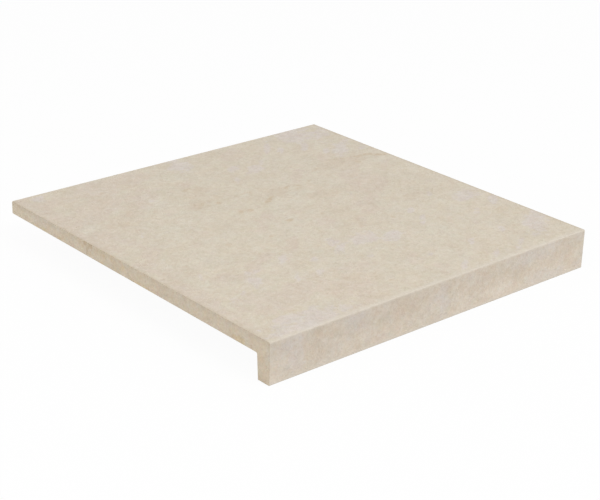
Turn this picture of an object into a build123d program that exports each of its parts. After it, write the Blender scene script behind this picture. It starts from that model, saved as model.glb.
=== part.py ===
from build123d import *
import os
from math import atan2, cos, sin, tan

# Stair tread tile: one pressed and fired porcelain piece with an L section.
# The slab is the walking surface and the nosing hangs down over the riser.
# All sizes are in millimetres. X runs along the nosing, +Y towards the back of the step, +Z up.
# The origin is at the middle of the footprint, level with the tip of the nosing.

# Overall size
width = 600.0
depth = 600.0
nosing_height = 60.0

# Slab, a little thicker where it meets the nosing
slab_back_thickness = 19.5
slab_root_thickness = 23.0

# Nosing, with draft on its inner face
nosing_root_thickness = 24.5
nosing_tip_thickness = 22.0

# Rounded and eased edges
nose_radius = 2.0
root_fillet = 2.0
section_arris = 0.7
end_arris = 0.5

# Keying relief pressed into the underside for the adhesive
key_pocket = 32.0
key_rib = 7.0
key_depth = 0.8
key_wall_slope = 40.0
key_border = 16.0

# Places that follow from the sizes
top_z = nosing_height
tip_z = 0.0
front_y = -depth / 2
back_y = depth / 2
root_y = front_y + nosing_root_thickness
tip_y = front_y + nosing_tip_thickness
slab_back_z = top_z - slab_back_thickness
slab_root_z = top_z - slab_root_thickness
underside_slope = atan2(slab_back_z - slab_root_z, back_y - root_y)


def corner(sketch, y, z):
    """The vertex of the section nearest to a point."""
    return sketch.vertices().sort_by_distance(Vector(0, y, z))[0]


def l_section():
    """The L section in the YZ plane: slab, drafted nosing, rounded nose and filleted root."""
    outline = Polyline(
        (front_y, top_z),
        (back_y, top_z),
        (back_y, slab_back_z),
        (root_y, slab_root_z),
        (tip_y, tip_z),
        (front_y, tip_z),
        close=True,
    )
    section = Plane.YZ * make_face(outline)
    section = fillet(corner(section, front_y, top_z), nose_radius)
    section = fillet(corner(section, root_y, slab_root_z), root_fillet)
    eased = [(back_y, top_z), (back_y, slab_back_z), (tip_y, tip_z), (front_y, tip_z)]
    return fillet([corner(section, y, z) for y, z in eased], section_arris)


def blank():
    """The section extruded along the nosing, with both cut ends eased all round."""
    body = extrude(l_section(), amount=width / 2, both=True)
    ends = body.faces().sort_by(Axis.X)
    return fillet(ends[0].edges() + ends[-1].edges(), end_arris)


def keying_relief():
    """Shallow square pockets with sloping walls, in rows that stop short of every edge."""
    pitch = key_pocket + key_rib
    land_start = root_y + root_fillet + key_border
    land_end = back_y - key_border
    columns = int((width - 2 * key_border + key_rib) // pitch)
    rows = int((land_end - land_start + key_rib) // pitch)
    middle_y = (land_start + land_end) / 2
    middle_z = slab_root_z + (middle_y - root_y) * tan(underside_slope)
    into_slab = Vector(0, -sin(underside_slope), cos(underside_slope))
    underside = Plane(origin=(0, middle_y, middle_z), x_dir=(1, 0, 0), z_dir=into_slab)
    pocket = extrude(Rectangle(key_pocket, key_pocket), amount=key_depth, taper=key_wall_slope)
    return [underside * spot * pocket for spot in GridLocations(pitch, pitch, columns, rows)]


tread = blank() - keying_relief()

os.makedirs("parts", exist_ok=True)
export_step(tread, "parts/stair_tread_tile.step")
print("solids", len(tread.solids()), "volume", round(tread.volume), "box", tread.bounding_box())
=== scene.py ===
import bmesh
import bpy
from math import radians, tan
from mathutils import Euler, Matrix, Vector


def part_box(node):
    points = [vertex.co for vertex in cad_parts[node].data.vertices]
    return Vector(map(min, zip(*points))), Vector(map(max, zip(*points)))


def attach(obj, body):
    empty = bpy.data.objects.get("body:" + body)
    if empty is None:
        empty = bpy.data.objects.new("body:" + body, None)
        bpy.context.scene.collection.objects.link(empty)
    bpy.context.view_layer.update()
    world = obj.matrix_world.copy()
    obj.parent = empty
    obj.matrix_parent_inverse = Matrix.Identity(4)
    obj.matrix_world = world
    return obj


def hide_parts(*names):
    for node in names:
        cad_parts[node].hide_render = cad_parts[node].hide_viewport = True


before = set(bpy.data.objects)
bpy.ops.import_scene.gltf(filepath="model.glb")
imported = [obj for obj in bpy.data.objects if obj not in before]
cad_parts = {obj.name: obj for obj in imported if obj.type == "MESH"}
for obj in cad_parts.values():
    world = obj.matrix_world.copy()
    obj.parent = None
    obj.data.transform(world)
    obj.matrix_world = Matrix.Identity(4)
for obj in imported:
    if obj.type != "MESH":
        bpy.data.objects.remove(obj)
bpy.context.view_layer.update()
low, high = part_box("stair_tread_tile")
middle = (low + high) / 2
span = high - low
print("frame loaded, the tile measures", [round(side, 3) for side in span], "m")


# Selecting by place and normal in edit mode

def editPiece(piece, mode):
    bpy.ops.object.select_all(action="DESELECT")
    piece.select_set(True)
    bpy.context.view_layer.objects.active = piece
    bpy.ops.object.mode_set(mode="EDIT")
    bpy.ops.mesh.select_mode(type=mode)
    bpy.ops.mesh.select_all(action="DESELECT")


def pickFaces(piece, test):
    bpy.ops.mesh.select_mode(type="FACE")
    bpy.ops.mesh.select_all(action="DESELECT")
    mesh = bmesh.from_edit_mesh(piece.data)
    for face in mesh.faces:
        if test(face.calc_center_median(), face.normal):
            face.select_set(True)
    bmesh.update_edit_mesh(piece.data)


def pickEdges(piece, test):
    bpy.ops.mesh.select_mode(type="EDGE")
    bpy.ops.mesh.select_all(action="DESELECT")
    mesh = bmesh.from_edit_mesh(piece.data)
    for edge in mesh.edges:
        if test(edge):
            edge.select_set(True)
    bmesh.update_edit_mesh(piece.data)


def pickPoints(piece, test):
    bpy.ops.mesh.select_mode(type="VERT")
    bpy.ops.mesh.select_all(action="DESELECT")
    mesh = bmesh.from_edit_mesh(piece.data)
    for point in mesh.verts:
        if test(point.co, point.normal):
            point.select_set(True)
    bmesh.update_edit_mesh(piece.data)


def edgeMiddle(edge):
    return (edge.verts[0].co + edge.verts[1].co) / 2


def edgeAlong(edge):
    return (edge.verts[1].co - edge.verts[0].co).normalized()


# The tile: one L-shaped piece

tileShape = {
    "slabBack": 0.0195,       # slab thickness at the back edge
    "slabRoot": 0.023,        # slab thickness where it meets the nosing
    "nosingRoot": 0.0245,
    "nosingTip": 0.022,
    "noseRadius": 0.002,      # rounded front top edge
    "noseSteps": 6,
    "rootFillet": 0.002,
    "rootSteps": 4,
    "arris": 0.0007,          # eased edges along the nosing
    "endArris": 0.0005,       # eased edges of the two cut ends
    "arrisSteps": 2,
    "keyPitch": 0.039,        # keying pockets under the slab
    "keyMouth": 0.032,
    "keyDepth": 0.0008,
    "keySlope": 40,           # degrees
    "keyCount": 14,
    "longEdge": 0.03,         # edges over this get the long cuts of the fine grid
    "longCuts": 13,
    "shortEdge": 0.01,        # and then those over this get the short ones
    "shortCuts": 6,
    "smoothUnder": 47,        # degrees between faces that shade as one
}

rootY = low.y + tileShape["nosingRoot"]       # the inner corner, under the slab
rootZ = high.z - tileShape["slabRoot"]
draft = tileShape["nosingRoot"] - tileShape["nosingTip"]
near = 1e-4                                   # how close counts as the same place


def liesAlong(edge, y, z):
    spot = edgeMiddle(edge)
    return abs(edgeAlong(edge).x) > 0.9 and abs(spot.y - y) < near and abs(spot.z - z) < near


# the slab, as thick as it is at the nosing
def addSlab():
    bpy.ops.object.select_all(action="DESELECT")
    bpy.ops.mesh.primitive_cube_add(
        size=1,
        location=(middle.x, middle.y, (rootZ + high.z) / 2),
        scale=(span.x, span.y, tileShape["slabRoot"]),
    )
    bpy.ops.object.transform_apply(location=True, rotation=True, scale=True)
    slab = bpy.context.object
    slab.name = "stairTreadTile"
    slab.data.name = "stairTreadTile"
    return slab


# the nosing is pulled down from the front strip and gets its draft, and the slab thins to the back
def pullNosing(piece):
    bpy.ops.mesh.select_all(action="SELECT")
    bpy.ops.mesh.bisect(plane_co=(0, rootY, 0), plane_no=(0, 1, 0))
    pickFaces(piece, lambda spot, normal: normal.z < -0.9 and spot.y < rootY)
    bpy.ops.mesh.extrude_region_move(TRANSFORM_OT_translate={"value": (0, 0, low.z - rootZ)})
    pickEdges(piece, lambda edge: liesAlong(edge, rootY, low.z))
    bpy.ops.transform.translate(value=(0, -draft, 0))
    pickEdges(piece, lambda edge: liesAlong(edge, high.y, rootZ))
    bpy.ops.transform.translate(value=(0, 0, tileShape["slabRoot"] - tileShape["slabBack"]))


def isEndOutline(edge):
    ends = [abs(face.normal.x) > 0.9 for face in edge.link_faces]
    return any(ends) and not all(ends)


# rounded nose, filleted root and eased edges
def easeEdges(piece):
    pickEdges(piece, lambda edge: liesAlong(edge, low.y, high.z))
    bpy.ops.mesh.bevel(offset=tileShape["noseRadius"], segments=tileShape["noseSteps"], affect="EDGES")
    pickEdges(piece, lambda edge: liesAlong(edge, rootY, rootZ))
    bpy.ops.mesh.bevel(offset=tileShape["rootFillet"], segments=tileShape["rootSteps"], affect="EDGES")
    backZ = high.z - tileShape["slabBack"]
    corners = [(high.y, high.z), (high.y, backZ), (rootY - draft, low.z), (low.y, low.z)]
    pickEdges(piece, lambda edge: any(liesAlong(edge, y, z) for y, z in corners))
    bpy.ops.mesh.bevel(offset=tileShape["arris"], segments=tileShape["arrisSteps"], affect="EDGES")
    pickEdges(piece, isEndOutline)
    bpy.ops.mesh.bevel(offset=tileShape["endArris"], segments=tileShape["arrisSteps"], affect="EDGES")


# the lines of the pocket grid are cut right round the piece, an inset leaves the ribs between the
# pockets, and a second one goes in
def pressPockets(piece):
    pitch = tileShape["keyPitch"]
    reach = pitch * tileShape["keyCount"] / 2
    keyMiddleY = (rootY + tileShape["rootFillet"] + high.y) / 2
    for step in range(tileShape["keyCount"] + 1):
        bpy.ops.mesh.select_all(action="SELECT")
        bpy.ops.mesh.bisect(plane_co=(middle.x - reach + step * pitch, 0, 0), plane_no=(1, 0, 0))
        bpy.ops.mesh.select_all(action="SELECT")
        bpy.ops.mesh.bisect(plane_co=(0, keyMiddleY - reach + step * pitch, 0), plane_no=(0, 1, 0))

    def isUnderGrid(spot, normal):
        inside = abs(spot.x - middle.x) < reach and abs(spot.y - keyMiddleY) < reach
        return normal.z < -0.9 and spot.z > rootZ - near and inside

    pickFaces(piece, isUnderGrid)
    bpy.ops.mesh.inset(thickness=(pitch - tileShape["keyMouth"]) / 2, use_individual=True)
    depth = tileShape["keyDepth"]
    wall = depth * tan(radians(tileShape["keySlope"]))
    bpy.ops.mesh.inset(thickness=wall, depth=-depth, use_individual=True)


# the top, the front, the two cut ends and the back edge, while the nosing's inner face stays coarse
def isSeen(edge):
    faces = [face.normal for face in edge.link_faces]
    atBack = any(normal.y > 0.9 for normal in faces) and edgeMiddle(edge).y > middle.y
    return atBack or any(normal.z > 0.05 or abs(normal.x) > 0.9 or normal.y < -0.5 for normal in faces)


# a fine grid on all that is seen from above or from the sides, for the pressed relief
def cutFineGrid(piece):
    for limit, cuts in (("longEdge", "longCuts"), ("shortEdge", "shortCuts")):
        pickEdges(piece, lambda edge: isSeen(edge) and edge.calc_length() > tileShape[limit])
        bpy.ops.mesh.subdivide(number_cuts=tileShape[cuts])


def makeTile():
    piece = addSlab()
    editPiece(piece, "FACE")
    pullNosing(piece)
    easeEdges(piece)
    print("tile outline shaped")
    pressPockets(piece)
    print("keying pockets pressed")
    cutFineGrid(piece)
    bpy.ops.object.mode_set(mode="OBJECT")
    bpy.ops.object.shade_smooth_by_angle(angle=radians(tileShape["smoothUnder"]))
    return piece


tile = makeTile()
print("tile modelled,", sum(len(face.vertices) - 2 for face in tile.data.polygons), "triangles")


# Pressed relief of the stone-look face, always inwards, and the small chip at a back corner

relief = {
    "waves": (0.045, 2, 0.00030),       # size of the swells, detail, depth, in metres
    "layers": (0.028, 5, 0.00022),      # size of the slate-like steps, detail, depth
    "steps": ((0.30, 0.0), (0.42, 0.30), (0.46, 0.52), (0.58, 0.60), (0.61, 0.85), (0.72, 1.0)),
    "borders": ((0.0015, 0.4), (0.004, 0.75), (0.008, 1.0)),   # inset from the edge, share of the depth
    "chipReach": 0.0016,
    "chipMove": (0.0001, -0.0003, -0.0002),
}


def clearOfEdge(spot, sides):
    reaches = {
        "x": min(spot.x - low.x, high.x - spot.x),
        "y": min(spot.y - low.y, high.y - spot.y),
        "z": min(spot.z - low.z, high.z - spot.z),
    }
    return min(reaches[side] for side in sides)


def reliefGroup(name, facing, sides):
    bpy.ops.object.vertex_group_add()
    group = tile.vertex_groups.active
    group.name = name
    for inset, share in relief["borders"]:
        editPiece(tile, "VERT")
        pickPoints(
            tile, lambda spot, normal: normal.dot(facing) > 0.99 and clearOfEdge(spot, sides) > inset
        )
        bpy.context.scene.tool_settings.vertex_group_weight = share
        bpy.ops.object.vertex_group_assign()
        bpy.ops.object.mode_set(mode="OBJECT")


def cloudTexture(name, size, detail, stepped):
    clouds = bpy.data.textures.new(name, "CLOUDS")
    clouds.noise_scale = size
    clouds.noise_depth = detail
    clouds.noise_basis = "ORIGINAL_PERLIN"
    if stepped:
        clouds.use_color_ramp = True
        ramp = clouds.color_ramp
        ramp.interpolation = "EASE"
        places = [place for place, level in relief["steps"]]
        ramp.elements[0].position, ramp.elements[1].position = places[0], places[-1]
        for place in places[1:-1]:
            ramp.elements.new(place)
        for element, (place, level) in zip(ramp.elements, relief["steps"]):
            element.color = (level, level, level, 1)
    return clouds


# inwards is the sign of the move along the axis: the mid level keeps every point inside the outline
def pressRelief(groupName, direction, inwards):
    for name, stepped in (("waves", False), ("layers", True)):
        size, detail, depth = relief[name]
        bpy.ops.object.modifier_add(type="DISPLACE")
        press = tile.modifiers[-1]
        press.name = name
        press.texture = cloudTexture(name + groupName, size, detail, stepped)
        press.texture_coords = "LOCAL"
        press.direction = direction
        press.vertex_group = groupName
        press.mid_level = 0 if inwards > 0 else 1
        press.strength = depth
        bpy.ops.object.modifier_apply(modifier=press.name)


def chipCorner():
    corner = Vector((low.x, high.y, high.z))
    editPiece(tile, "VERT")
    pickPoints(tile, lambda spot, normal: (spot - corner).length < relief["chipReach"])
    bpy.ops.transform.translate(value=relief["chipMove"])
    bpy.ops.object.mode_set(mode="OBJECT")


# the large faces keep their own normals, so the eased edges shade on their own
def settleNormals():
    bpy.ops.object.modifier_add(type="WEIGHTED_NORMAL")
    settled = tile.modifiers[-1]
    settled.keep_sharp = True
    bpy.ops.object.modifier_apply(modifier=settled.name)


reliefGroup("topRelief", Vector((0, 0, 1)), "xy")
pressRelief("topRelief", "Z", -1)
reliefGroup("frontRelief", Vector((0, -1, 0)), "xz")
pressRelief("frontRelief", "Y", 1)
chipCorner()
settleNormals()
print("relief pressed")


# Node helpers

def addNode(tree, kind, **settings):
    node = tree.nodes.new(kind)
    for name, value in settings.items():
        setattr(node, name, value)
    return node


def feed(tree, target, source):
    if isinstance(source, bpy.types.NodeSocket):
        tree.links.new(source, target)
    else:
        target.default_value = source


def maths(tree, operation, *values, clamp=False):
    node = addNode(tree, "ShaderNodeMath", operation=operation, use_clamp=clamp)
    for socket, value in zip(node.inputs, values):
        feed(tree, socket, value)
    return node.outputs[0]


def vectorMaths(tree, operation, first, second):
    node = addNode(tree, "ShaderNodeVectorMath", operation=operation)
    feed(tree, node.inputs[0], first)
    feed(tree, node.inputs["Scale" if operation == "SCALE" else 1], second)
    return node.outputs[0]


def remap(tree, value, start, end, atStart=0.0, atEnd=1.0, curve="SMOOTHSTEP"):
    node = addNode(tree, "ShaderNodeMapRange", interpolation_type=curve)
    limits = {"Value": value, "From Min": start, "From Max": end, "To Min": atStart, "To Max": atEnd}
    for name, source in limits.items():
        feed(tree, node.inputs[name], source)
    return node.outputs["Result"]


def joinParts(tree, first, second, third):
    node = addNode(tree, "ShaderNodeCombineXYZ")
    for socket, source in zip(node.inputs, (first, second, third)):
        feed(tree, socket, source)
    return node.outputs[0]


def mixColour(tree, share, first, second):
    node = addNode(tree, "ShaderNodeMix", data_type="RGBA")
    feed(tree, node.inputs[0], share)
    feed(tree, node.inputs[6], first)
    feed(tree, node.inputs[7], second)
    return node.outputs[2]


def newGroup(name, inputs, outputs):
    group = bpy.data.node_groups.new(name, "ShaderNodeTree")
    for label, value in inputs.items():
        kind = "NodeSocketVector" if value is None else "NodeSocketFloat"
        socket = group.interface.new_socket(name=label, in_out="INPUT", socket_type=kind)
        if value is not None:
            socket.default_value = value
    for label in outputs:
        group.interface.new_socket(name=label, in_out="OUTPUT", socket_type="NodeSocketFloat")
    start = addNode(group, "NodeGroupInput").outputs
    end = addNode(group, "NodeGroupOutput").inputs
    return group, start, end


def useGroup(tree, group, **values):
    node = addNode(tree, "ShaderNodeGroup", node_tree=group)
    for name, value in values.items():
        feed(tree, node.inputs[name], value)
    return node.outputs


def shade(red, green, blue):
    levels = [level / 255 for level in (red, green, blue)]
    linear = [level / 12.92 if level < 0.04045 else ((level + 0.055) / 1.055) ** 2.4 for level in levels]
    return (*linear, 1)


# Shared effects, each one a node group that puts out masks or values

# pairs are where a mask starts and where it is full; seeds only keep the clouds apart
effects = {
    "swirl": 0.5,                  # scale of the swirls that warp the clouds, against the clouds' own
    "layerParts": (0.48, 0.58),    # noise, for where layer edges show
    "fineGrain": 0.2,              # size of the fine grain and of the pit cells, against the broad grain
    "pitRim": (0.26, 0.10),        # distance from the middle of a pit
    "pitParts": (0.47, 0.43),      # broad grain, as pits lie where it is low
    "pitSink": 0.3,                # depth of a pit, against the grain
    "patchRim": (0.75, 0.15),      # distance from the middle of a patch, against its size
    "lostParts": (0.4, 0.6),       # noise, for where a pale edge breaks up
}


def makeStoneClouds():
    inputs = {
        "Vector": None, "Size": 0.05, "Stretch": 1.2, "Turn": 0.3, "Warp": 0.02, "Detail": 5.0,
        "Roughness": 0.8, "Seed": 0.0,
    }
    group, start, end = newGroup("stoneClouds", inputs, ["Value"])
    swirl = addNode(group, "ShaderNodeTexNoise", noise_dimensions="4D")
    feed(group, swirl.inputs["Vector"], start["Vector"])
    feed(group, swirl.inputs["W"], maths(group, "ADD", start["Seed"], 17.0))
    feed(group, swirl.inputs["Scale"], maths(group, "DIVIDE", effects["swirl"], start["Size"]))
    feed(group, swirl.inputs["Detail"], 2.0)
    push = vectorMaths(group, "SUBTRACT", swirl.outputs["Color"], (0.5, 0.5, 0.5))
    moved = vectorMaths(group, "ADD", start["Vector"], vectorMaths(group, "SCALE", push, start["Warp"]))
    turned = addNode(group, "ShaderNodeVectorRotate", rotation_type="Z_AXIS")
    feed(group, turned.inputs["Vector"], moved)
    feed(group, turned.inputs["Angle"], maths(group, "MULTIPLY", start["Turn"], -1.0))
    squeeze = joinParts(group, maths(group, "DIVIDE", 1.0, start["Stretch"]), 1.0, 1.0)
    clouds = addNode(group, "ShaderNodeTexNoise", noise_dimensions="4D")
    feed(group, clouds.inputs["Vector"], vectorMaths(group, "MULTIPLY", turned.outputs[0], squeeze))
    feed(group, clouds.inputs["W"], start["Seed"])
    feed(group, clouds.inputs["Scale"], maths(group, "DIVIDE", 1.0, start["Size"]))
    feed(group, clouds.inputs["Detail"], start["Detail"])
    feed(group, clouds.inputs["Roughness"], start["Roughness"])
    feed(group, end["Value"], clouds.outputs[0])
    return group


def makeLayerEdges():
    inputs = {
        "Vector": None, "Size": 0.09, "Stretch": 1.3, "Turn": 0.3, "Lines": 9.0, "Width": 0.10, "Seed": 0.0,
    }
    group, start, end = newGroup("layerEdges", inputs, ["Mask", "Height"])
    passed = {name: start[name] for name in ("Vector", "Size", "Stretch", "Turn", "Seed")}
    base = useGroup(group, stoneClouds, Detail=6.0, Roughness=0.7, Warp=0.03, **passed)["Value"]
    steps = maths(group, "PINGPONG", maths(group, "MULTIPLY", base, start["Lines"]), 0.5)
    line = remap(group, steps, start["Width"], 0.0)
    part = useGroup(
        group, stoneClouds, Vector=start["Vector"], Size=0.035, Seed=maths(group, "ADD", start["Seed"], 5.0)
    )["Value"]
    shown = remap(group, part, *effects["layerParts"])
    feed(group, end["Mask"], maths(group, "MULTIPLY", line, shown))
    feed(group, end["Height"], steps)
    return group


def makeStoneGrain():
    inputs = {
        "Vector": None, "Size": 0.03, "Stretch": 1.15, "Turn": 0.3, "Fine": 0.5, "Pits": 0.3, "Seed": 0.0,
    }
    group, start, end = newGroup("stoneGrain", inputs, ["Value", "Pits", "Height"])
    passed = {name: start[name] for name in ("Vector", "Stretch", "Turn", "Seed")}
    broad = useGroup(
        group, stoneClouds, Size=start["Size"], Warp=0.006, Detail=4.0, Roughness=1.0, **passed
    )["Value"]
    small = maths(group, "MULTIPLY", start["Size"], effects["fineGrain"])
    fine = useGroup(group, stoneClouds, Size=small, Warp=0.0, Detail=3.0, Roughness=0.9, **passed)["Value"]
    speckle = maths(group, "MULTIPLY", maths(group, "SUBTRACT", fine, 0.5), start["Fine"])
    value = maths(group, "ADD", broad, speckle)
    cells = addNode(group, "ShaderNodeTexVoronoi", feature="F1")
    feed(group, cells.inputs["Vector"], start["Vector"])
    feed(group, cells.inputs["Scale"], maths(group, "DIVIDE", 1.0, small))
    dot = remap(group, cells.outputs["Distance"], *effects["pitRim"])
    rare = remap(group, broad, *effects["pitParts"])
    pits = maths(group, "MULTIPLY", maths(group, "MULTIPLY", dot, rare), start["Pits"])
    sunk = maths(group, "MULTIPLY", pits, effects["pitSink"])
    feed(group, end["Value"], value)
    feed(group, end["Pits"], pits)
    feed(group, end["Height"], maths(group, "SUBTRACT", value, sunk))
    return group


def makePatchMask():
    inputs = {
        "Vector": None, "Spot": None, "Long": 0.03, "Wide": 0.02, "Tall": 1.0, "Turn": 0.0, "Strength": 1.0,
    }
    group, start, end = newGroup("patchMask", inputs, ["Mask"])
    away = vectorMaths(group, "SUBTRACT", start["Vector"], start["Spot"])
    turned = addNode(group, "ShaderNodeVectorRotate", rotation_type="Z_AXIS")
    feed(group, turned.inputs["Vector"], away)
    feed(group, turned.inputs["Angle"], maths(group, "MULTIPLY", start["Turn"], -1.0))
    size = joinParts(group, start["Long"], start["Wide"], start["Tall"])
    inside = vectorMaths(group, "DIVIDE", turned.outputs[0], size)
    distance = addNode(group, "ShaderNodeVectorMath", operation="LENGTH")
    feed(group, distance.inputs[0], inside)
    mask = remap(group, distance.outputs["Value"], *effects["patchRim"])
    feed(group, end["Mask"], maths(group, "MULTIPLY", mask, start["Strength"]))
    return group


# a pale or dark band along an edge: it carries the painted highlights of the nose and the front's edges, and
# the worn strip along the cut ends
def makePaleEdge():
    inputs = {"Vector": None, "Distance": 0.0, "Width": 0.004, "Breakup": 0.3}
    group, start, end = newGroup("paleEdge", inputs, ["Mask"])
    band = remap(group, start["Distance"], start["Width"], 0.0)
    uneven = useGroup(
        group, stoneClouds, Vector=start["Vector"], Size=0.018, Warp=0.0, Detail=3.0, Seed=71.0
    )["Value"]
    lost = maths(group, "MULTIPLY", remap(group, uneven, *effects["lostParts"]), start["Breakup"])
    feed(group, end["Mask"], maths(group, "MULTIPLY", band, maths(group, "SUBTRACT", 1.0, lost)))
    return group


def makeTintDrift():
    inputs = {"Vector": None, "Size": 0.03, "Warm": 0.1, "Blush": 0.05, "Seed": 0.0}
    group, start, end = newGroup("tintDrift", inputs, ["Warmth", "Blush"])
    for label, amount, share, shift in (("Warmth", "Warm", 1.0, 3.0), ("Blush", "Blush", 0.5, 11.0)):
        value = useGroup(
            group, stoneClouds, Vector=start["Vector"], Size=maths(group, "MULTIPLY", start["Size"], share),
            Warp=0.004, Roughness=0.95, Seed=maths(group, "ADD", start["Seed"], shift),
        )["Value"]
        spread = maths(group, "MULTIPLY", maths(group, "SUBTRACT", value, 0.5), start[amount])
        feed(group, end[label], spread)
    return group


stoneClouds = makeStoneClouds()
layerEdges = makeLayerEdges()
stoneGrain = makeStoneGrain()
patchMask = makePatchMask()
paleEdge = makePaleEdge()
tintDrift = makeTintDrift()
print("shared effects built")


# Steps that every finish of the tile goes through

def newMaterial(name):
    material = bpy.data.materials.new(name)
    material.use_nodes = True
    tree = material.node_tree
    shader = tree.nodes["Principled BSDF"]
    shader.inputs["IOR"].default_value = 1.5
    place = addNode(tree, "ShaderNodeTexCoord").outputs["Object"]
    return material, tree, shader, place


def sideOf(tree, place, side):
    parts = addNode(tree, "ShaderNodeSeparateXYZ")
    feed(tree, parts.inputs[0], place)
    return parts.outputs["XYZ".index(side)]


def aboutMiddle(tree, value, gain, centre, clamp=False):
    return maths(tree, "MULTIPLY_ADD", value, gain, centre - gain / 2, clamp=clamp)


def baseDrift(tree, place, look):
    size, stretch, turn, gain, seed = look["drift"]
    value = useGroup(
        tree, stoneClouds, Vector=place, Size=size, Stretch=stretch, Turn=radians(turn), Warp=size / 3,
        Detail=5.0, Roughness=0.9, Seed=seed,
    )["Value"]
    return mixColour(tree, aboutMiddle(tree, value, gain, 0.5, clamp=True), look["cool"], look["warm"])


def markMasks(tree, place, marks):
    total = 0.0
    for mark in marks:
        total = maths(tree, "MAXIMUM", total, useGroup(tree, patchMask, Vector=place, **mark)["Mask"])
    return total


def layTones(tree, place, colour, look, placeMark):
    for tone, (size, start, end, seed, strength) in look["clouds"].items():
        value = useGroup(
            tree, stoneClouds, Vector=place, Size=size, Warp=size / 2, Detail=6.0, Roughness=0.75, Seed=seed
        )["Value"]
        marks = [placeMark(*mark) for mark in look["marks"].get(tone, [])]
        lift = maths(tree, "MULTIPLY", markMasks(tree, place, marks), look["lift"])
        mask = remap(tree, maths(tree, "ADD", value, lift), start, end)
        colour = mixColour(tree, maths(tree, "MULTIPLY", mask, strength), colour, stoneTones[tone])
    return colour


grainShares = (0.8, 1.0, 1.28)     # how strongly the grain moves red, green and blue
grainRange = (0.4, 0.6)            # grain values from dull to smooth


def grainOver(tree, place, colour, shader, look):
    size, stretch, turn, fine, pits, gain, seed = look["grain"]
    grain = useGroup(
        tree, stoneGrain, Vector=place, Size=size, Stretch=stretch, Turn=radians(turn), Fine=fine, Pits=pits,
        Seed=seed,
    )
    tintSize, warm, blush = look["tint"]
    tint = useGroup(tree, tintDrift, Vector=place, Size=tintSize, Warm=warm, Blush=blush, Seed=seed)
    levels = [aboutMiddle(tree, grain["Value"], gain * share, 1.0) for share in grainShares]
    red = maths(tree, "ADD", levels[0], tint["Warmth"])
    green = maths(tree, "SUBTRACT", levels[1], tint["Blush"])
    blue = maths(tree, "SUBTRACT", levels[2], tint["Warmth"])
    colour = vectorMaths(tree, "MULTIPLY", colour, joinParts(tree, red, green, blue))
    colour = mixColour(tree, grain["Pits"], colour, look["pit"])
    smooth, dull = look["gloss"]
    feed(tree, shader.inputs["Roughness"], remap(tree, grain["Value"], *grainRange, dull, smooth))
    return colour, grain["Height"]


def edgeOver(tree, place, colour, distance, width, strength, tone):
    edge = useGroup(tree, paleEdge, Vector=place, Distance=distance, Width=width)["Mask"]
    return mixColour(tree, maths(tree, "MULTIPLY", edge, strength), colour, tone)


def fromEnds(tree, place):
    return maths(tree, "SUBTRACT", span.x / 2, maths(tree, "ABSOLUTE", sideOf(tree, place, "X")))


def surfaceBump(tree, shader, height, distance):
    bump = addNode(tree, "ShaderNodeBump")
    bump.inputs["Strength"].default_value = 1.0
    bump.inputs["Distance"].default_value = distance
    feed(tree, bump.inputs["Height"], height)
    feed(tree, shader.inputs["Normal"], bump.outputs[0])


stoneTones = {
    "pink": shade(211.5, 197.5, 181),
    "brown": shade(209.5, 196, 176.5),
    "orange": shade(202, 183, 157),
    "line": shade(200, 184, 163),
    "lilac": shade(214, 203.5, 193.5),
    "pale": shade(216, 207.5, 190),
    # painted highlight, the pale tone laid along the rounded nose and the front's eased edges
    "paintedHighlight": shade(223, 214, 200),
    "frontBrown": shade(205, 191.5, 174),
    "frontLilac": shade(207, 196.5, 185),
    "frontPale": shade(213, 202.5, 187.5),
    "bodyBrown": shade(184, 163, 134),
    "bodyYellow": shade(202, 183.5, 150),
    "bodyPink": shade(203, 183.5, 167.5),
    "bodyGrey": shade(204.5, 193.5, 180),
}


# The stone-look walking surface: drifting tones, and the marks that stand out, placed one by one

def topMark(x, y, longSide, wideSide, turn, strength):
    return {
        "Spot": (x / 1000, y / 1000, high.z), "Long": longSide / 1000, "Wide": wideSide / 1000,
        "Turn": radians(turn), "Strength": strength,
    }


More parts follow.
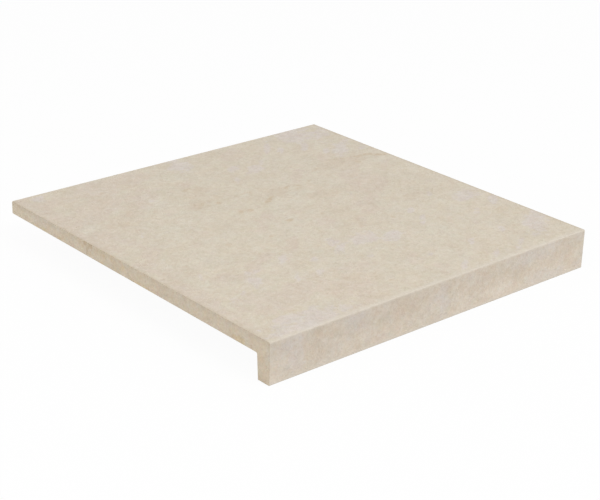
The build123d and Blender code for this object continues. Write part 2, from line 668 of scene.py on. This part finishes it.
# each mark: x, y, length and width in mm, turn in degrees, strength
topMarks = {
    "pink": [
        (-175, 262, 250, 60, 3, 1.0), (-215, 205, 210, 90, 38, 0.8), (-225, 110, 170, 70, 40, 0.6),
        (-262, 10, 100, 60, 60, 0.7), (170, 35, 110, 76, 40, 1.0), (130, -10, 120, 40, 35, 0.8),
        (22, -45, 60, 44, 30, 0.8), (100, -52, 50, 26, 0, 0.9), (-236, -206, 96, 76, 20, 0.8),
        (-132, -227, 56, 50, 20, 1.0), (60, -78, 80, 18, 50, 0.9), (92, 262, 80, 44, 45, 1.0),
        (205, 168, 46, 28, 40, 1.0), (115, 130, 70, 18, 45, 0.9), (195, 92, 130, 32, 42, 0.9),
        (28, -218, 56, 26, 55, 0.9), (-55, 200, 40, 30, 40, 0.8), (-146, 114, 14, 14, 0, 1.0),
        (255, 80, 60, 20, 45, 0.8), (175, -145, 50, 12, 45, 0.9), (40, -265, 60, 26, 60, 0.7),
        (-286, 140, 400, 40, 90, 1.0), (-288, -130, 360, 34, 88, 0.8), (-150, 190, 200, 60, 45, 0.6),
        (-200, -212, 230, 60, 10, 0.8), (-125, -262, 150, 66, 45, 0.8), (-60, -205, 110, 50, 42, 0.7),
        (-222, -114, 80, 36, -25, 0.9), (-148, -96, 100, 28, 30, 0.8), (-72, -76, 90, 22, 42, 0.8),
        (-175, 10, 120, 26, 45, 0.7), (-60, 0, 120, 24, 45, 0.6),
    ],
    "brown": [
        (205, 128, 130, 50, 5, 1.0), (-212, 132, 110, 46, 35, 0.9), (-50, 165, 70, 30, 35, 0.9),
        (-195, 236, 50, 30, 30, 0.7), (96, 38, 80, 46, 30, 0.9), (66, -20, 84, 40, 20, 0.8),
        (62, -72, 60, 12, 58, 0.9), (192, -50, 76, 28, 12, 1.0), (104, -224, 34, 24, 75, 1.0),
        (-268, -66, 76, 46, 15, 1.0), (-96, -236, 150, 110, 65, 0.6), (-74, -266, 40, 30, 30, 0.9),
        (-120, 140, 40, 26, 30, 0.8), (150, -12, 60, 24, 40, 0.7), (-86, 118, 70, 34, 15, 1.0),
        (36, 92, 110, 40, 20, 0.7), (188, 36, 30, 20, 40, 1.0), (173, 48, 14, 12, 0, 1.0),
    ],
    "orange": [
        (-86, 121, 40, 20, 30, 0.8), (-99, 109, 24, 12, 20, 0.9), (-60, 108, 14, 11, 0, 0.9),
        (-54, 61, 34, 16, 25, 0.8), (-42, 56, 20, 12, 20, 1.2), (-66, 179, 26, 11, 15, 1.1),
        (65, 96, 26, 10, 25, 0.95), (79, 87, 28, 18, 40, 0.7), (9, 71, 34, 10, 25, 1.2),
        (-18, -9, 18, 13, 0, 1.1), (-77, -39, 17, 9, 0, 1.0), (20, 78, 15, 12, 0, 0.9),
        (6, 111, 40, 10, 42, 0.8), (205, 148, 22, 11, 0, 0.9), (232, 117, 20, 15, 0, 1.0),
        (270, 131, 36, 18, -25, 1.0), (285, 120, 32, 18, -35, 1.0), (255, 134, 20, 8, 30, 0.8),
        (37, -18, 16, 11, 0, 0.8), (154, 222, 26, 8, 45, 0.7), (-5, 207, 12, 10, 0, 0.8),
        (-146, -26, 16, 13, 0, 0.9), (112, -89, 16, 9, 50, 0.8), (-243, -50, 15, 11, 20, 0.9),
        (-290, -258, 13, 10, 0, 0.9), (-131, -192, 44, 7, -65, 0.8), (-49, -254, 9, 7, 0, 0.8),
        (-284, 112, 9, 9, 0, 0.8), (-176, 246, 18, 7, 50, 0.7), (-210, -246, 90, 6, 4, 0.7),
        (222, 143, 60, 9, -15, 0.8), (250, 136, 60, 10, -14, 0.9), (150, 128, 90, 7, 14, 0.6),
        (-20, 114, 80, 7, 6, 0.6), (110, 96, 80, 7, 24, 0.6),
    ],
    "lilac": [
        (235, 275, 100, 76, 45, 1.0), (270, 255, 90, 46, 45, 0.9), (212, 222, 50, 15, 45, 1.0),
        (165, 231, 40, 15, 45, 1.0), (156, 254, 70, 16, 50, 1.0), (50, 207, 34, 30, 40, 1.0),
        (78, 188, 50, 38, 30, 1.0), (105, 205, 32, 13, 45, 0.9), (22, 165, 32, 13, 55, 1.0),
        (226, 185, 40, 14, 45, 1.0), (255, 180, 100, 34, 45, 1.0), (291, 170, 40, 18, 45, 0.9),
        (-12, 270, 66, 50, 60, 1.0), (-262, 284, 36, 28, 60, 0.9), (-132, 174, 14, 12, 0, 0.8),
        (-24, 154, 14, 10, 0, 0.7), (-222, 76, 26, 8, 50, 0.7), (-247, -91, 30, 9, 65, 0.9),
        (-21, -105, 40, 26, 45, 0.9), (22, -124, 72, 50, 25, 1.0), (56, -144, 58, 34, 15, 1.0),
        (-34, -136, 62, 20, 45, 0.9), (-10, -170, 34, 13, 40, 0.7), (-119, -112, 36, 16, 50, 0.8),
        (-184, -126, 46, 28, 55, 0.9), (-199, -148, 40, 26, 60, 0.9), (-84, -139, 38, 13, 50, 0.8),
        (-257, -178, 36, 20, 40, 0.8), (-237, -169, 34, 12, 40, 0.8), (-143, -170, 38, 12, 55, 0.8),
        (-106, -175, 36, 15, 45, 0.8), (-218, -286, 200, 34, 3, 1.0), (137, -128, 64, 12, 45, 0.9),
        (149, -91, 30, 11, 45, 1.0), (228, -152, 32, 14, 45, 0.9), (266, -95, 66, 44, 20, 1.0),
        (282, -134, 60, 22, 42, 0.9), (224, -55, 32, 12, 42, 0.9), (-226, -272, 130, 56, 2, 1.0),
        (262, -238, 120, 44, 40, 1.0), (290, -225, 60, 24, 40, 0.8), (135, -228, 30, 13, 45, 1.0),
        (58, -222, 24, 13, 35, 0.8), (204, -224, 28, 14, 40, 0.8), (128, -280, 50, 14, 35, 0.8),
        (178, -282, 60, 16, 35, 0.7), (66, -280, 50, 13, 40, 0.8), (122, 10, 28, 8, 55, 0.7),
    ],
    "pale": [
        (33, 38, 170, 56, 30, 0.9), (-262, -33, 70, 44, 60, 0.5), (-155, 76, 110, 44, 28, 0.6),
        (-14, 108, 130, 7, 15, 0.9), (-66, 33, 12, 10, 0, 1.0), (-255, -116, 46, 8, 50, 0.9),
        (-217, -150, 130, 10, 31, 0.8), (-50, 235, 120, 60, 38, 0.5), (130, -170, 150, 60, 38, 0.6),
        (-240, -250, 90, 6, 6, 0.8), (234, -246, 36, 9, 42, 0.8), (-270, 140, 50, 30, 35, 0.7),
        (-130, 165, 50, 26, 45, 0.7), (96, 190, 120, 26, 40, 0.5), (90, -225, 24, 8, 55, 0.8),
        (-110, -60, 150, 60, 38, 0.5), (130, 70, 60, 20, 35, 0.7),
    ],
}

topLook = {
    "cool": shade(213.3, 203.7, 184.6),
    "warm": shade(212.8, 200.2, 181.6),
    "drift": (0.11, 1.2, 35, 2.2, 2.0),         # size, stretch, turn, gain, seed
    "clouds": {                                 # size, start, end, seed, strength
        "pink": (0.050, 0.58, 0.70, 4.0, 0.75),
        "pale": (0.050, 0.60, 0.74, 5.0, 0.7),
        "brown": (0.036, 0.62, 0.74, 13.0, 0.8),
        "lilac": (0.020, 0.62, 0.74, 9.0, 0.9),
        "orange": (0.012, 0.60, 0.84, 15.0, 0.8),
    },
    "marks": topMarks,
    "lift": 0.26,                               # how far a mark raises its clouds
    "lines": (12.0, 0.08, 0.40, 30, 3.0),       # how many, width, strength, turn, seed
    "lineHeight": 0.2,
    "grain": (0.030, 1.15, 25, 1.3, 0.35, 0.30, 1.0),   # size, stretch, turn, fine, pits, gain, seed
    "tint": (0.030, 0.13, 0.18),                # size, spread from yellow to blue, and from pink to green
    "pit": shade(192, 176, 152),
    "gloss": (0.54, 0.70),                      # roughness where smooth and where dull
    "bump": 0.0013,
    "paintedHighlight": (0.0105, 0.70),                    # painted highlight back from the rounded nose, partly a paler worn band: width, strength
    "sideWear": (0.006, 0.5),                   # browner strip along the two cut ends: width, strength
}


def stoneTopMaterial():
    material, tree, shader, place = newMaterial("stoneFace")
    colour = layTones(tree, place, baseDrift(tree, place, topLook), topLook, topMark)
    count, width, strength, turn, seed = topLook["lines"]
    lines = useGroup(
        tree, layerEdges, Vector=place, Turn=radians(turn), Lines=count, Width=width, Seed=seed
    )
    drawn = maths(tree, "MULTIPLY", lines["Mask"], strength)
    colour = mixColour(tree, drawn, colour, stoneTones["line"])
    colour, height = grainOver(tree, place, colour, shader, topLook)
    colour = edgeOver(tree, place, colour, fromEnds(tree, place), *topLook["sideWear"], topLook["pit"])
    # painted highlight along the rounded nose, partly a paler worn band
    fromNose = maths(tree, "SUBTRACT", sideOf(tree, place, "Y"), low.y)
    colour = edgeOver(tree, place, colour, fromNose, *topLook["paintedHighlight"], stoneTones["paintedHighlight"])
    feed(tree, shader.inputs["Base Color"], colour)
    layered = maths(tree, "MULTIPLY_ADD", lines["Height"], topLook["lineHeight"], height)
    surfaceBump(tree, shader, layered, topLook["bump"])
    return material


# The front of the nosing: the same print, with painted light from below that makes it paler towards its tip,
# and painted light from the right. Its tuples are in topLook's order.

def frontMark(x, z, wideSide, tallSide, strength):
    return {
        "Spot": (x / 1000, low.y, z / 1000), "Long": wideSide / 1000, "Wide": 0.1, "Tall": tallSide / 1000,
        "Strength": strength,
    }


frontLook = {
    "cool": shade(209, 198, 182.5),
    "warm": shade(209, 196, 179.5),
    "drift": (0.06, 1.0, 0, 2.4, 23.0),
    "clouds": {
        "frontBrown": (0.030, 0.60, 0.74, 25.0, 0.75),
        "frontPale": (0.024, 0.61, 0.75, 29.0, 0.7),
        "frontLilac": (0.026, 0.61, 0.72, 21.0, 0.75),
    },
    "marks": {                # x, z, width, height in mm, strength
        "frontBrown": [
            (-220, 34, 90, 50, 0.9), (-70, 42, 90, 44, 1.0), (105, 36, 120, 40, 0.8),
            (160, 30, 54, 24, 0.8), (268, 38, 70, 50, 1.0), (20, 50, 90, 20, 0.8),
        ],
        "frontLilac": [
            (-264, 36, 42, 66, 1.0), (-157, 46, 60, 34, 0.9), (8, 34, 34, 60, 0.9),
            (190, 48, 100, 28, 1.0), (215, 10, 70, 22, 1.0), (-120, 10, 60, 16, 0.6),
            (250, 8, 90, 18, 0.8),
        ],
        "frontPale": [
            (28, 14, 70, 32, 0.9), (-296, 28, 10, 12, 1.0), (230, 12, 100, 22, 0.7),
            (-150, 20, 80, 20, 0.6), (130, 14, 70, 18, 0.7),
        ],
    },
    "lift": 0.26,
    "underRidge": 1.01,       # brightness just under the nose, where the painted light from below starts
    "tip": 1.115,             # painted light from below, brightest at the tip
    "rightward": (-0.1, 0.2, 1.045),   # painted light from the right: where it starts and stops gaining along x, and how much
    "grain": (0.026, 1.0, 0, 0.95, 0.25, 0.46, 31.0),
    "tint": (0.026, 0.23, 0.20),
    "pit": shade(188, 174, 152),
    "gloss": (0.54, 0.70),
    "bump": 0.0012,
    "edges": (                # painted highlights along the front's edges: width of each pale line and its strength
        ("paintedHighlight", 0.0040, 0.62),
        # painted light on the tip's downward eased edge
        ("tip", 0.0070, 1.0),
        ("ends", 0.0030, 0.30),
    ),
}


def stoneFrontMaterial():
    material, tree, shader, place = newMaterial("stoneFront")
    colour = layTones(tree, place, baseDrift(tree, place, frontLook), frontLook, frontMark)
    height = sideOf(tree, place, "Z")
    across = sideOf(tree, place, "X")
    start, end, gain = frontLook["rightward"]
    # painted light: paler towards the tip and towards the right end
    paintedLight = maths(
        tree, "MULTIPLY", remap(tree, height, high.z, low.z, frontLook["underRidge"], frontLook["tip"]),
        remap(tree, across, start, end, 1.0, gain),
    )
    colour, relieved = grainOver(tree, place, vectorMaths(tree, "SCALE", colour, paintedLight), shader, frontLook)
    distances = {
        "paintedHighlight": maths(tree, "SUBTRACT", high.z, height),
        "tip": maths(tree, "SUBTRACT", height, low.z),
        "ends": fromEnds(tree, place),
    }
    # painted highlights along the front's top edge and its two ends, and painted light at the tip
    for name, width, strength in frontLook["edges"]:
        colour = edgeOver(tree, place, colour, distances[name], width, strength, stoneTones["paintedHighlight"])
    feed(tree, shader.inputs["Base Color"], colour)
    surfaceBump(tree, shader, relieved, frontLook["bump"])
    return material


# The bare fired body on the cut ends, the back and the underside. Its tuples are in topLook's order.

def endMark(y, z, wideSide, tallSide, strength):
    return {
        "Spot": (low.x, y / 1000, z / 1000), "Long": 0.1, "Wide": wideSide / 1000, "Tall": tallSide / 1000,
        "Strength": strength,
    }


bodyLook = {
    "cool": shade(204, 191.5, 171),
    "warm": shade(204, 188, 165),
    "drift": (0.05, 1.0, 0, 3.0, 53.0),
    "clouds": {
        "bodyGrey": (0.024, 0.60, 0.74, 59.0, 0.4),
        "bodyPink": (0.014, 0.60, 0.72, 57.0, 0.6),
        "bodyYellow": (0.014, 0.60, 0.72, 55.0, 0.7),
        "bodyBrown": (0.012, 0.62, 0.76, 51.0, 0.7),
    },
    "marks": {                # on the left end: y, z, width, height in mm, strength
        "bodyBrown": [(97, 56, 28, 14, 1.0), (101, 46, 6, 14, 1.0)],
        "bodyYellow": [
            (233, 40, 16, 8, 1.0), (214, 43, 16, 8, 1.0), (169, 43, 18, 9, 1.0), (65, 40, 16, 8, 1.0),
            (-240, 42, 34, 14, 1.0), (50, 52, 190, 50, 0.45), (-30, 40, 60, 8, 0.8),
        ],
        "bodyGrey": [(-150, 52, 160, 24, 0.8), (215, 54, 90, 20, 0.8), (-296, 30, 10, 70, 0.6)],
        "bodyPink": [(-60, 41, 120, 9, 0.6), (130, 42, 120, 9, 0.6), (-200, 40, 80, 8, 0.6)],
    },
    "lift": 0.24,
    "underTop": 0.935,        # painted shade: brightness just under the walking surface
    "darkBand": 0.012,
    "grain": (0.016, 1.0, 0, 0.9, 0.5, 0.55, 61.0),
    "tint": (0.012, 0.30, 0.40),
    "pit": shade(178, 158, 128),
    "gloss": (0.68, 0.82),
    "bump": 0.0016,
}


def bareBodyMaterial():
    material, tree, shader, place = newMaterial("bareBody")
    colour = layTones(tree, place, baseDrift(tree, place, bodyLook), bodyLook, endMark)
    height = sideOf(tree, place, "Z")
    # painted shade: the bare faces darker just under the walking surface, lighter further down
    paintedShade = remap(tree, height, high.z - bodyLook["darkBand"], high.z, 1.0, bodyLook["underTop"])
    colour, relieved = grainOver(tree, place, vectorMaths(tree, "SCALE", colour, paintedShade), shader, bodyLook)
    feed(tree, shader.inputs["Base Color"], colour)
    surfaceBump(tree, shader, relieved, bodyLook["bump"])
    return material


def dressFaces(slotIndex, test):
    editPiece(tile, "FACE")
    pickFaces(tile, test)
    tile.active_material_index = slotIndex
    bpy.ops.object.material_slot_assign()
    bpy.ops.object.mode_set(mode="OBJECT")


# the front's finish starts halfway round the nose, and the bare body just over each cut edge
def isFront(spot, normal):
    return normal.y < -0.7 and abs(normal.x) < 0.3


def isBare(spot, normal):
    return abs(normal.x) > 0.3 or normal.y > 0.3 or normal.z < -0.3


for material in (stoneTopMaterial(), stoneFrontMaterial(), bareBodyMaterial()):
    tile.data.materials.append(material)
dressFaces(1, isFront)
dressFaces(2, isBare)

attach(tile, "root")
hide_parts("stair_tread_tile")
print("tile finished")


# Floor, light and camera

floorLook = {
    "side": 30,               # metres
    "colour": (0.9, 0.9, 0.9),
    "shadow": 0.05,           # share of the lit floor that shows, the rest is white
}


def makeFloor():
    bpy.ops.object.select_all(action="DESELECT")
    bpy.ops.mesh.primitive_plane_add(size=floorLook["side"], location=(0, 0, low.z))
    floor = bpy.context.object
    floor.name = "studioFloor"
    material = bpy.data.materials.new("studioFloor")
    material.use_nodes = True
    tree = material.node_tree
    tree.nodes.clear()
    lit = addNode(tree, "ShaderNodeBsdfDiffuse")
    lit.inputs["Color"].default_value = (*floorLook["colour"], 1)
    white = addNode(tree, "ShaderNodeEmission")
    white.inputs["Color"].default_value = (1, 1, 1, 1)
    mix = addNode(tree, "ShaderNodeMixShader")
    seen = addNode(tree, "ShaderNodeLightPath").outputs["Is Camera Ray"]
    feed(tree, mix.inputs["Fac"], maths(tree, "MULTIPLY", seen, 1 - floorLook["shadow"]))
    feed(tree, mix.inputs[1], lit.outputs[0])
    feed(tree, mix.inputs[2], white.outputs[0])
    out = addNode(tree, "ShaderNodeOutputMaterial")
    feed(tree, out.inputs["Surface"], mix.outputs[0])
    floor.data.materials.append(material)


studioLight = {
    "sky": 0.63,
    "softboxes": {            # spot, side and power
        "keySoftbox": ((0.35, -1.8, 3.0), 1.6, 40),
        "sideSoftbox": ((-2.4, 0.2, 0.9), 1.2, 15),
    },
}


def makeWorld():
    world = bpy.data.worlds.new("studioWorld")
    bpy.context.scene.world = world
    world.use_nodes = True
    tree = world.node_tree
    tree.nodes.clear()
    sky = addNode(tree, "ShaderNodeBackground")
    sky.inputs["Strength"].default_value = studioLight["sky"]
    white = addNode(tree, "ShaderNodeBackground")
    for background in (sky, white):
        background.inputs["Color"].default_value = (1, 1, 1, 1)
    path = addNode(tree, "ShaderNodeLightPath").outputs
    mirrored = maths(tree, "MAXIMUM", path["Is Glossy Ray"], path["Is Transmission Ray"])
    mix = addNode(tree, "ShaderNodeMixShader")
    feed(tree, mix.inputs["Fac"], maths(tree, "MAXIMUM", path["Is Camera Ray"], mirrored))
    feed(tree, mix.inputs[1], sky.outputs[0])
    feed(tree, mix.inputs[2], white.outputs[0])
    out = addNode(tree, "ShaderNodeOutputWorld")
    feed(tree, out.inputs["Surface"], mix.outputs[0])


def makeSoftboxes():
    for name, (spot, side, power) in studioLight["softboxes"].items():
        lamp = bpy.data.lights.new(name, "AREA")
        lamp.shape = "SQUARE"
        lamp.size = side
        lamp.energy = power
        softbox = bpy.data.objects.new(name, lamp)
        softbox.location = spot
        softbox.rotation_euler = (middle - Vector(spot)).to_track_quat("-Z", "Y").to_euler()
        bpy.context.scene.collection.objects.link(softbox)


cameraView = {
    "spot": (-1.4290, -1.6278, 0.9302),
    "turn": 41.490,           # degrees from +Y towards +X
    "down": 23.140,
    "roll": 1.554,
    "lens": 94.88,            # mm
    "sensor": 36,             # mm wide
}


def makeCamera():
    camera = bpy.data.objects.new("camera", bpy.data.cameras.new("camera"))
    camera.data.sensor_width = cameraView["sensor"]
    camera.data.lens = cameraView["lens"]
    camera.location = cameraView["spot"]
    level = Euler((radians(90 - cameraView["down"]), 0, -radians(cameraView["turn"]))).to_matrix()
    camera.rotation_euler = (level @ Matrix.Rotation(radians(cameraView["roll"]), 3, "Z")).to_euler()
    bpy.context.scene.collection.objects.link(camera)
    bpy.context.scene.camera = camera


makeFloor()
makeWorld()
makeSoftboxes()
makeCamera()
bpy.context.scene.view_settings.view_transform = "Standard"
print("floor, light and camera set")
